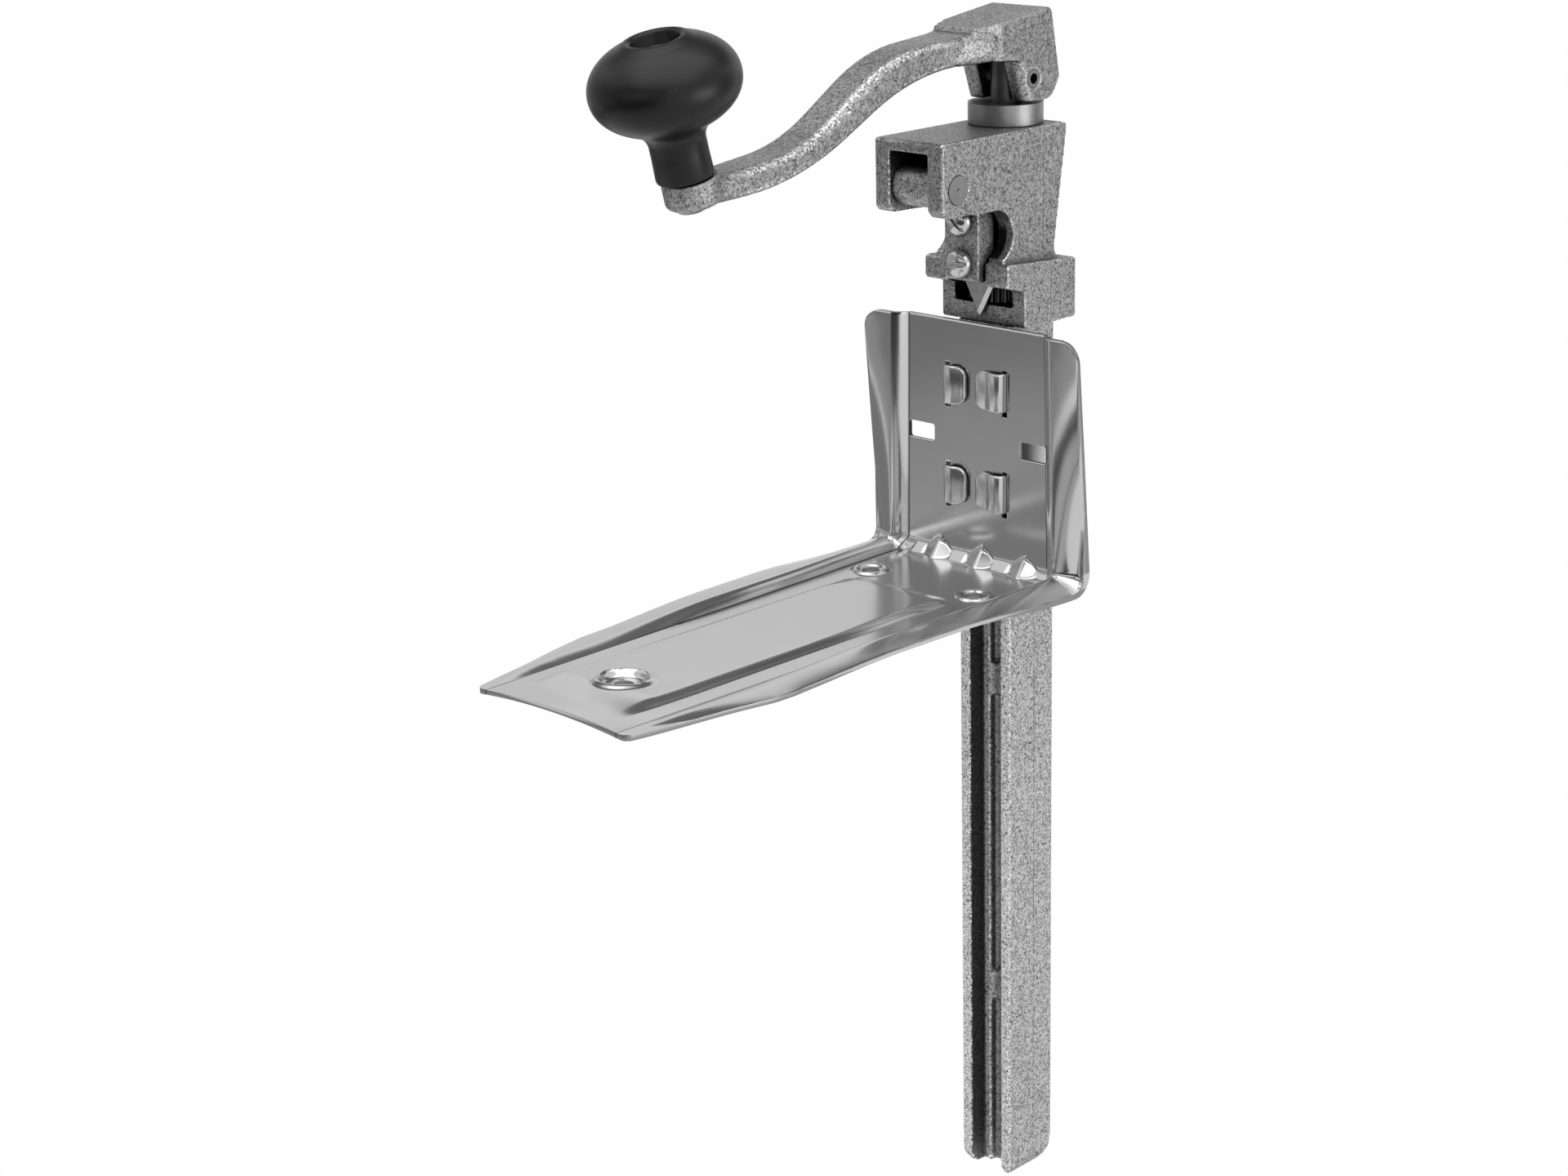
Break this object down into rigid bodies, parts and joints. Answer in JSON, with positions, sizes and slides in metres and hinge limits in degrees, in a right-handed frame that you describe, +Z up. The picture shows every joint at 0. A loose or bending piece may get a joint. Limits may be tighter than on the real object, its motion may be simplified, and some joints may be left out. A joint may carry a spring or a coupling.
{
  "type": "can opener",
  "caption": "Bench-mounted manual can opener: a cast column with a crank, feed gear and hinged knife slides in a bent sheet bracket whose tongue screws to a table top.",
  "frame": {"origin": "on the table top, midway between the two rear screw holes of the tongue", "axes": "+Z up along the column, +Y towards the column, so the tongue, the knife and the crank at rest point to -Y; X is the width"},
  "size_m": [0.0964, 0.2319, 0.4389],
  "materials": {
    "cast_aluminium": "sand-cast, lightly tumbled, edges worn bright",
    "polished_sheet": "pressed sheet steel, bright plated, fine scratches",
    "plated_steel": "turned or pressed steel, plain plated",
    "bright_steel": "bright nickel plated",
    "black_plastic": "glossy moulded thermoset, small nicks"
  },
  "bodies": {
    "bracket": {"support_bracket": "polished_sheet", "guide_channel": "plated_steel"},
    "column": {"column_casting": "cast_aluminium", "upper_bush": "plated_steel", "lower_bush": "plated_steel", "knife_pivot_pin": "plated_steel"},
    "crank": {"drive_shaft": "plated_steel", "feed_gear": "plated_steel", "crank_arm": "cast_aluminium", "crank_pin": "plated_steel", "knob_axle": "plated_steel", "knob_clip": "plated_steel"},
    "handle": {"knob": "black_plastic"},
    "knife": {"knife_holder": "cast_aluminium", "knife_blade": "bright_steel", "knife_screws": "bright_steel"}
  },
  "joints": [
    {"name": "column_slide", "type": "slide", "parent": "bracket", "child": "column", "axis": [0, 0, 1], "range_m": [0, 0.19]},
    {"name": "crank_spin", "type": "hinge", "parent": "column", "child": "crank", "pos_m": [0, 0.045, 0.158], "axis": [0, 0, 1], "continuous": true},
    {"name": "knob_spin", "type": "hinge", "parent": "crank", "child": "handle", "pos_m": [0, -0.1031, 0.1467], "axis": [0, -0.2419, 0.9703], "continuous": true},
    {"name": "knife_swing", "type": "hinge", "parent": "column", "child": "knife", "pos_m": [0, 0.0035, 0.138], "axis": [1, 0, 0], "range_deg": [-35, 0]}
  ]
}
